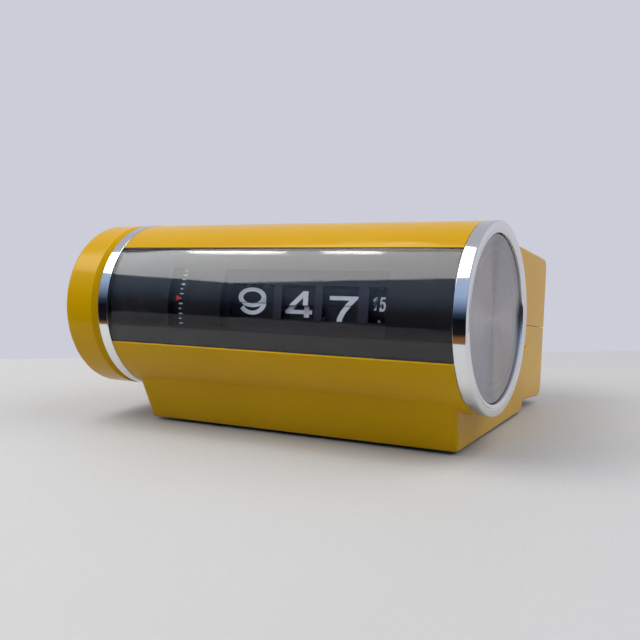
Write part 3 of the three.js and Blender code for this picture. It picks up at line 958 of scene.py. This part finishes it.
def make_time_knob():
    low, high = lean_box("time_set_knob")
    radius = (high.z - low.z) / 2
    stem = 3.0 * MM
    length = high.y - upper_high.y
    start = low.y - upper_high.y
    gap = 0.3 * MM
    profile = rounded([
        (start, 0, 0),
        (start, stem, 0.4 * MM),
        (gap, stem, 0),
        (gap, radius - 0.35 * MM, 0.2 * MM),
        (length - 1.6 * MM, radius - 0.35 * MM, 0.4 * MM),
        (length, radius - 1.6 * MM, 0.6 * MM),
        (length, 2.6 * MM, 0.4 * MM),
        (length - 0.8 * MM, 2.0 * MM, 0.2 * MM),
        (length - 0.8 * MM, 0, 0),
    ])
    place = control_place("time_set_knob")
    knob = turned("time_set_knob_moulding", profile, place, 96)
    ribs = []
    for index in range(30):
        turn = Matrix.Rotation(2 * math.pi * index / 30, 4, "X")
        outline = box_outline(gap + 0.5 * MM, length - 1.9 * MM, -0.32 * MM, 0.32 * MM, 0.25 * MM)
        ribs.append(slab("rib", outline, radius - 1.2 * MM, radius - 0.02 * MM, "Z", place @ turn))
    joined(knob, *ribs)
    finish_piece(knob, "time_set_knob", black, "time_set_knob")


def make_alarm_switch():
    low, high = lean_box("alarm_switch")
    start, end = low.y - upper_high.y, high.y - upper_high.y
    button = 4.0 * MM
    collar = 5.5 * MM
    profile = rounded([
        (start, 0, 0),
        (start, collar, 0.3 * MM),
        (-8 * MM, collar, 0.3 * MM),
        (-8 * MM, button, 0),
        (end, button, 0.7 * MM),
        (end, 2.6 * MM, 0.1 * MM),
        (end - 0.4 * MM, 2.2 * MM, 0.2 * MM),
        (end - 0.5 * MM, 0, 0),
    ])
    switch = turned("alarm_switch_button", profile, control_place("alarm_switch"), 72)
    finish_piece(switch, "alarm_switch", black, "alarm_switch")


def make_cord_inlet():
    low, high = lean_box("cord_inlet")
    start, end = low.y - upper_high.y, high.y - upper_high.y
    bore, body, flange = 4.0 * MM, 6.5 * MM, 8.5 * MM
    profile = rounded([
        (start, bore, 0.3 * MM),
        (start, body, 0.3 * MM),
        (0.3 * MM, body, 0),
        (0.3 * MM, flange, 0.2 * MM),
        (end, flange - 0.5 * MM, 0.6 * MM),
        (end, bore, 0.5 * MM),
    ])
    inlet = turned("cord_inlet_grommet", profile, control_place("cord_inlet"), 96)
    finish_piece(inlet, "case", rubber, "cord_inlet")


# ---- materials ----
class Nodes:
    """A node tree, with short ways to add nodes to it."""

    def __init__(self, owner):
        owner.use_nodes = True
        self.tree = owner.node_tree
        self.tree.nodes.clear()

    def fill(self, node, inputs):
        for key, value in inputs.items():
            if isinstance(value, bpy.types.NodeSocket):
                self.tree.links.new(value, node.inputs[key])
            else:
                node.inputs[key].default_value = value

    def add(self, kind, inputs=None, **settings):
        node = self.tree.nodes.new(kind)
        for key, value in settings.items():
            setattr(node, key, value)
        self.fill(node, inputs or {})
        return node

    def spread(self, value, low, high, start=0.3, end=0.7):
        inputs = {"Value": value, "From Min": start, "From Max": end, "To Min": low, "To Max": high}
        return self.add("ShaderNodeMapRange", inputs).outputs[0]

    def blend(self, share, first, second):
        node = self.add("ShaderNodeMix", {0: share, 6: first, 7: second}, data_type="RGBA")
        return node.outputs[2]


class Look(Nodes):
    """A material made of nodes around one Principled shader."""

    def __init__(self, name, values):
        self.material = bpy.data.materials.new(name)
        super().__init__(self.material)
        self.places = self.add("ShaderNodeTexCoord").outputs["Object"]
        self.shader = self.add("ShaderNodeBsdfPrincipled", values)
        self.output = self.add("ShaderNodeOutputMaterial", {"Surface": self.shader.outputs[0]})

    def set(self, **inputs):
        """Sets sockets of the shader: base_color fills Base Color."""
        names = {key: key.replace("_", " ").title() for key in inputs}
        self.fill(self.shader, {names[key]: value for key, value in inputs.items()})

    def noise(self, scale, detail=3.0, stretch=(1, 1, 1)):
        places = self.add("ShaderNodeMapping", {"Vector": self.places, "Scale": stretch})
        inputs = {"Vector": places.outputs[0], "Scale": scale, "Detail": detail}
        return self.add("ShaderNodeTexNoise", inputs).outputs[0]

    def bump(self, height, distance, normal=None):
        inputs = {"Height": height, "Distance": distance, "Strength": 1.0}
        if normal is not None:
            inputs["Normal"] = normal
        return self.add("ShaderNodeBump", inputs).outputs[0]

    def scratches(self, scale, across):
        """Fine hairlines: noise drawn out along one direction."""
        return self.spread(self.noise(scale, 2.0, across), 0, 1, 0.62, 0.72)


def yellow_plastic():
    """Glossy moulded ABS: slight orange peel, hazy handling marks and hairlines."""
    look = Look("yellow_abs", {
        "IOR": 1.45,
        "Specular IOR Level": 0.3,
        "Specular Tint": (1.0, 0.78, 0.30, 1),
    })
    tone = look.spread(look.noise(12, 4), 0, 1)
    colour = look.blend(tone, (0.590, 0.320, 0.0003, 1), (0.640, 0.352, 0.0010, 1))
    dust = look.spread(look.noise(300, 6), 0, 0.3, 0.62, 0.82)
    colour = look.blend(dust, colour, (0.60, 0.42, 0.10, 1))
    haze = look.spread(look.noise(38, 5), 0.10, 0.20)
    peel = look.bump(look.noise(620, 2), 0.000006)
    lines = look.bump(look.scratches(500, (1, 0.05, 0.08)), 0.000004, peel)
    look.set(base_color=colour, roughness=haze, normal=lines)
    return look.material


def black_plastic(name, colour, worn, roughness, grain, gloss):
    """Matt black moulding with a fine spark texture and a little grey dust."""
    look = Look(name, {"IOR": 1.5, "Specular IOR Level": gloss})
    dust = look.spread(look.noise(90, 6), 0, 1, 0.45, 0.85)
    rough = look.spread(look.noise(160, 4), roughness - 0.07, roughness + 0.08)
    fine = look.bump(look.noise(2400, 2), grain)
    look.set(base_color=look.blend(dust, colour, worn), roughness=rough, normal=fine)
    return look.material


def chrome_plate():
    """Bright plating with faint smears, hairlines and very slight waviness."""
    look = Look("chrome_plate", {"Metallic": 1.0})
    smear = look.noise(45, 5)
    tone = look.blend(look.spread(smear, 0, 1), (0.80, 0.81, 0.83, 1), (0.86, 0.86, 0.87, 1))
    rough = look.spread(smear, 0.035, 0.10)
    wave = look.bump(look.noise(120, 1), 0.000008)
    lines = look.bump(look.scratches(900, (1, 0.1, 0.1)), 0.0000015, wave)
    look.set(base_color=tone, roughness=rough, normal=lines)
    return look.material


def spun_metal():
    """Satin spun metal: fine grooves around the disc's middle, and slightly uneven rings of tone."""
    look = Look("spun_aluminium", {"Metallic": 1.0, "Anisotropic": 0.95})
    middle = look.add("ShaderNodeVectorMath", {0: look.places, 1: tuple(tube_axis)}, operation="SUBTRACT")
    flat = look.add("ShaderNodeVectorMath", {0: middle.outputs[0], 1: (0, 1, 1)}, operation="MULTIPLY")
    radius = look.add("ShaderNodeVectorMath", {0: flat.outputs[0]}, operation="LENGTH").outputs["Value"]
    rings = []
    for scale, detail in ((5200.0, 2.0), (420.0, 3.0)):
        inputs = {"W": radius, "Scale": scale, "Detail": detail}
        rings.append(look.add("ShaderNodeTexNoise", inputs, noise_dimensions="1D").outputs[0])
    grooves, bands = rings
    tone = look.spread(bands, 0, 1)
    colour = look.blend(tone, (0.44, 0.42, 0.43, 1), (0.54, 0.52, 0.53, 1))
    stain = look.spread(look.noise(70, 5), 0, 1, 0.45, 0.8)
    colour = look.blend(stain, colour, (0.47, 0.43, 0.42, 1))
    rough = look.spread(bands, 0.34, 0.42)
    tangent = look.add("ShaderNodeTangent", direction_type="RADIAL", axis="X").outputs[0]
    normal = look.bump(grooves, 0.0000012)
    look.set(base_color=colour, roughness=rough, normal=normal, tangent=tangent)
    return look.material


def smoked_acrylic():
    """Smoked clear acrylic: polished, with slight moulding waves and a few hairlines."""
    look = Look("smoked_acrylic", {
        "Base Color": (0.86, 0.87, 0.90, 1),
        "Roughness": 0.015,
        "Transmission Weight": 1.0,
        "IOR": 1.40,
    })
    wave = look.bump(look.noise(55, 1, (0.35, 1, 1)), 0.00003)
    lines = look.bump(look.scratches(700, (0.05, 1, 1)), 0.0000015, wave)
    look.set(normal=lines)
    clear = look.add("ShaderNodeBsdfTransparent", {"Color": (0.95, 0.96, 0.99, 1)})
    path = look.add("ShaderNodeLightPath")
    mixed = look.add("ShaderNodeMixShader", {
        0: path.outputs["Is Shadow Ray"],
        1: look.shader.outputs[0],
        2: clear.outputs[0],
    })
    look.fill(look.output, {"Surface": mixed.outputs[0]})
    return look.material


def painted(name, first, second, roughness):
    """Printed or painted ink, a little uneven."""
    look = Look(name, {"IOR": 1.45})
    tone = look.spread(look.noise(260, 5), 0, 1)
    rough = look.spread(look.noise(500, 3), roughness - 0.08, roughness + 0.08)
    grain = look.bump(look.noise(3000, 2), 0.000004)
    look.set(base_color=look.blend(tone, first, second), roughness=rough, normal=grain)
    return look.material


def bare_metal(name, first, second, roughness, stretch):
    """Plain inner metal with rolling lines and dull patches."""
    look = Look(name, {"Metallic": 1.0})
    patch = look.noise(60, 5)
    grain = look.noise(300, 4, stretch)
    tone = look.blend(look.spread(patch, 0, 1), first, second)
    rough = look.spread(grain, roughness - 0.1, roughness + 0.12)
    look.set(base_color=tone, roughness=rough, normal=look.bump(grain, 0.000008))
    return look.material


def soft_rubber():
    look = Look("black_rubber", {"IOR": 1.5})
    dust = look.spread(look.noise(200, 6), 0, 1, 0.4, 0.8)
    colour = look.blend(dust, (0.020, 0.020, 0.021, 1), (0.055, 0.052, 0.048, 1))
    rough = look.spread(look.noise(400, 3), 0.72, 0.92)
    look.set(base_color=colour, roughness=rough, normal=look.bump(look.noise(1500, 3), 0.00002))
    return look.material


def table_top():
    """The pale table: a very fine woven grain."""
    look = Look("table_top", {"IOR": 1.45})
    tone = look.spread(look.noise(3, 4), 0, 1)
    weave = look.noise(700, 3, (1, 0.35, 1))
    look.set(
        base_color=look.blend(tone, (0.510, 0.505, 0.492, 1), (0.545, 0.540, 0.527, 1)),
        roughness=look.spread(weave, 0.42, 0.62),
        normal=look.bump(weave, 0.00005),
    )
    return look.material


yellow = yellow_plastic()
# Each black: name, colour, worn colour, roughness, depth of its grain in metres, specular level.
blacks = [
    ("black_moulding", (0.016, 0.016, 0.018, 1), (0.045, 0.044, 0.043, 1), 0.48, 0.00001, 0.5),
    ("mask_moulding", (0.009, 0.009, 0.010, 1), (0.016, 0.015, 0.015, 1), 0.6, 0.000002, 0.12),
    ("frame_moulding", (0.028, 0.028, 0.042, 1), (0.040, 0.040, 0.052, 1), 0.55, 0.000003, 0.2),
    ("leaf_plastic", (0.006, 0.007, 0.011, 1), (0.014, 0.015, 0.021, 1), 0.5, 0.000003, 0.2),
]
black, mask_black, frame_black, leaf_black = [black_plastic(*settings) for settings in blacks]
rubber = soft_rubber()
chrome = chrome_plate()
spun = spun_metal()
smoked = smoked_acrylic()
white = painted("white_print", (0.74, 0.76, 0.82, 1), (0.82, 0.84, 0.88, 1), 0.45)
red = painted("red_paint", (0.62, 0.02, 0.012, 1), (0.72, 0.035, 0.02, 1), 0.4)
steel = bare_metal("rolled_steel", (0.42, 0.42, 0.43, 1), (0.52, 0.52, 0.53, 1), 0.38, (1, 0.1, 1))
brass = bare_metal("cut_brass", (0.58, 0.43, 0.16, 1), (0.70, 0.53, 0.22, 1), 0.34, (1, 1, 1))


# ---- the inner pieces keep their CAD shape ----
def dress_inner_nodes():
    inner = {
        "frame_plate_left": steel,
        "frame_plate_middle": steel,
        "frame_plate_right": steel,
        "drum_shaft": steel,
        "motor": steel,
        "leaf_detent": steel,
        "alarm_reed": steel,
        "motor_pinion": brass,
        "seconds_gear": brass,
        "hour_drum": black,
        "tens_drum": black,
        "units_drum": black,
    }
    for name, look in inner.items():
        node = nodes[name]
        node.data.materials.clear()
        node.data.materials.append(look)
        add_bevel(node, 0.08 * MM, 1, 40)


# ---- camera, table and light ----
VIEW_YAW = math.radians(29.26)
VIEW_PITCH = math.radians(6.04)
VIEW_ROLL = math.radians(0.71)
camera_place = Vector((
    ring_high.x + 2.660 * ring_radius,
    tube_axis.y - 8.481 * ring_radius,
    tube_axis.z + 0.932 * ring_radius,
))
level_way = Vector((-math.sin(VIEW_YAW), math.cos(VIEW_YAW), 0))
level_right = Vector((math.cos(VIEW_YAW), math.sin(VIEW_YAW), 0))


def make_camera():
    data = bpy.data.cameras.new("camera")
    data.sensor_width = 36
    data.lens = 48.4
    camera = linked("camera", data)
    forward = level_way * math.cos(VIEW_PITCH) - Vector((0, 0, math.sin(VIEW_PITCH)))
    down = forward.cross(level_right)
    across = level_right * math.cos(VIEW_ROLL) + down * math.sin(VIEW_ROLL)
    below = down * math.cos(VIEW_ROLL) - level_right * math.sin(VIEW_ROLL)
    turn = Matrix((across, -below, -forward)).transposed().to_4x4()
    camera.matrix_world = Matrix.Translation(camera_place) @ turn
    scene.camera = camera


def make_table():
    """A pale table whose far edge lies level across the view. Its near part isn't mirrored."""
    far, near, side, thick = 0.704, 0.12, 0.95, 0.02
    split = tube_axis.y - 0.165
    start = Vector((camera_place.x, camera_place.y, 0))
    points = []
    for ahead, across in ((near, -side), (near, side), (far, side), (far, -side)):
        points.append(start + level_way * ahead + level_right * across)
    look = table_top()
    for name, way, mirrored in (("table", 1, True), ("table_near", -1, False)):
        work = bmesh.new()
        face = work.faces.new([work.verts.new(point) for point in points])
        cut_away(work, (0, split, 0), (0, -way, 0))
        grown = bmesh.ops.extrude_face_region(work, geom=work.faces[:])
        lowered = [v for v in grown["geom"] if isinstance(v, bmesh.types.BMVert)]
        bmesh.ops.translate(work, vec=(0, 0, -thick), verts=lowered)
        table = object_of(work, name, Matrix.Identity(4))
        table.data.materials.append(look)
        table.visible_glossy = mirrored


def area_light(name, place, turn, size_x, size_y, radiance, colour):
    """A soft oblong light of a given radiance facing down; turn is in degrees about X, Y and Z."""
    data = bpy.data.lights.new(name, "AREA")
    data.shape = "RECTANGLE"
    data.size = size_x
    data.size_y = size_y
    data.color = colour
    data.energy = radiance * math.pi * size_x * size_y
    light = linked(name, data)
    light.location = place
    light.rotation_euler = [math.radians(degrees) for degrees in turn]
    return light


def ramp(room, sine, stops):
    """Colours by elevation in degrees, from the elevation's sine."""
    node = room.add("ShaderNodeValToRGB", {0: room.spread(sine, 0, 1, -1, 1)})
    elements = node.color_ramp.elements
    while len(elements) > 1:
        elements.remove(elements[-1])
    for index, (degrees, colour) in enumerate(stops):
        position = (math.sin(math.radians(degrees)) + 1) / 2
        element = elements[0] if index == 0 else elements.new(position)
        element.position = position
        element.color = (*colour, 1)
    return node.outputs[0]


def make_world():
    """A lavender wall behind, a dark room in front and a bright ceiling above."""
    world = bpy.data.worlds.new("world")
    scene.world = world
    room = Nodes(world)
    way = room.add("ShaderNodeTexCoord").outputs["Generated"]
    parts = room.add("ShaderNodeSeparateXYZ", {0: way}).outputs
    front_side = ramp(room, parts["Z"], [
        (-90, (0.10, 0.05, 0.025)),
        (-24, (0.24, 0.11, 0.04)),
        (-17, (0.20, 0.09, 0.035)),
        (-13, (0.010, 0.009, 0.010)),
        (3, (0.004, 0.005, 0.010)),
        (9, (0.03, 0.045, 0.08)),
        (17, (0.16, 0.22, 0.34)),
        (28, (0.34, 0.46, 0.66)),
        (45, (0.42, 0.50, 0.66)),
        (60, (0.42, 0.44, 0.50)),
        (90, (0.45, 0.45, 0.47)),
    ])
    rear_side = ramp(room, parts["Z"], [
        (-90, (0.30, 0.30, 0.32)),
        (0, (0.60, 0.60, 0.66)),
        (45, (0.45, 0.46, 0.52)),
        (90, (0.45, 0.45, 0.47)),
    ])
    all_front, all_rear = -0.25, 0.15  # between these values of Y the two sides blend
    facing = room.spread(parts["Y"], 0, 1, all_front, all_rear)
    around = room.blend(facing, front_side, rear_side)
    seen_directly = room.add("ShaderNodeLightPath").outputs["Is Camera Ray"]
    wall_colour = (0.605, 0.612, 0.695, 1)
    shown = room.blend(seen_directly, around, wall_colour)
    shine = room.add("ShaderNodeBackground", {"Color": shown})
    room.add("ShaderNodeOutputWorld", {"Surface": shine.outputs[0]})


def make_lights():
    """A long ceiling window in front, two tube lamps above and a soft fill from the right."""
    warm = (1, 0.985, 0.94)
    area_light("ceiling_window", (-0.70, -0.53, 1.05), (0, 0, 30), 1.35, 0.88, 3.9, warm)
    lamps = [("left", (-0.64, -0.13, 1.0), 0.22), ("right", (-0.41, -0.12, 1.0), 0.12)]
    for side, place, length in lamps:
        lamp = area_light(f"tube_lamp_{side}", place, (0, 0, -4), length, 0.06, 9, warm)
        lamp.data.shape = "ELLIPSE"
    fill = area_light("right_fill", (0.75, 0.25, 0.95), (-10, 38, 0), 1.0, 1.0, 2.2, (1, 0.98, 0.95))
    fill.visible_glossy = False


case_makers = [
    make_case, make_base, make_right_ring, make_left_ring, make_end_disc, make_end_plate,
    make_alarm_knob, make_alarm_dial, make_window, make_mask, make_pointer, make_display_frame,
]
for make in case_makers:
    make()
for drum_name in leaf_drums:
    make_leaves(drum_name)
for make in (make_seconds_drum, make_time_knob, make_alarm_switch, make_cord_inlet, dress_inner_nodes):
    make()
for make in (make_camera, make_table, make_world, make_lights):
    make()
scene.view_settings.view_transform = "Standard"
